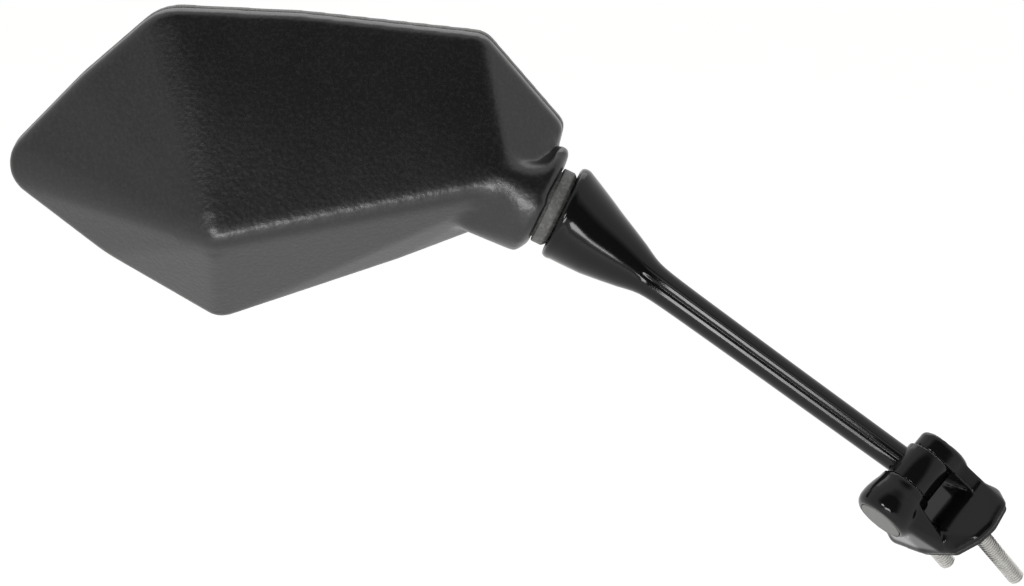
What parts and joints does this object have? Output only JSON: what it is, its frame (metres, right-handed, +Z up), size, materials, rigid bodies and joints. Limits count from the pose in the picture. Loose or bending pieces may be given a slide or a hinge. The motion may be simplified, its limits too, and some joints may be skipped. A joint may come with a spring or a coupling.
{
  "type": "motorcycle mirror",
  "caption": "Right-hand fairing mirror: faceted head on a ball-jointed, folding cast stem with a two-stud foot.",
  "frame": {"origin": "middle of the foot's mounting face, half way between the two studs", "axes": "+Z up as mounted on the fairing, +X inboard, +Y to the rear, so the glass faces +Y and the head reaches to -X"},
  "size_m": [0.3553, 0.083, 0.1891],
  "materials": {
    "shell_plastic": "fine textured dark grey",
    "bezel_plastic": "satin dark grey",
    "collar_plastic": "textured grey",
    "black_gloss": "gloss black stoved paint on a casting",
    "rubber": "matt",
    "zinc_steel": "zinc plated",
    "dark_steel": "black oxide",
    "cap_metal": "satin blasted",
    "white_acetal": "smooth",
    "carrier_plastic": "plain black",
    "foam": "closed-cell foam",
    "mirror": "silvered glass"
  },
  "bodies": {
    "base": {"foot": "black_gloss", "base_pad": "rubber", "stud_front": "zinc_steel", "stud_rear": "zinc_steel", "hinge_bolt": "dark_steel", "hinge_washer": "zinc_steel", "hinge_nut": "dark_steel", "hinge_cap": "cap_metal"},
    "stem": {"stem": "black_gloss", "hinge_bush_outer": "white_acetal", "hinge_bush_inner": "white_acetal", "retaining_ring": "dark_steel", "disc_springs": "zinc_steel"},
    "cup": {"friction_cup": "dark_steel"},
    "liner": {"ball_liner": "white_acetal"},
    "head": {"ball_stud": "zinc_steel", "collar": "collar_plastic", "stud_washer": "zinc_steel", "stud_nut": "zinc_steel", "housing": "shell_plastic", "bezel": "bezel_plastic", "glass_carrier": "carrier_plastic", "carrier_screws": "zinc_steel", "glass_pad": "foam", "mirror_glass": "mirror"}
  },
  "joints": [
    {"name": "fold", "type": "hinge", "parent": "base", "child": "stem", "pos_m": [-0.00868, -0.00789, 0.01984], "axis": [0.5879, 0.435, 0.682], "range_deg": [-30, 60]},
    {"name": "head_yaw", "type": "hinge", "parent": "stem", "child": "cup", "pos_m": [-0.13004, 0.0372, 0.09862], "axis": [0.4305, 0, 0.9026], "range_deg": [-10, 10]},
    {"name": "head_roll", "type": "hinge", "parent": "cup", "child": "liner", "pos_m": [-0.13004, 0.0372, 0.09862], "axis": [0, 1, 0], "range_deg": [-8, 8]},
    {"name": "head_aim", "type": "hinge", "parent": "liner", "child": "head", "pos_m": [-0.13004, 0.0372, 0.09862], "axis": [0.9026, 0, -0.4305], "range_deg": [-15, 15]}
  ]
}
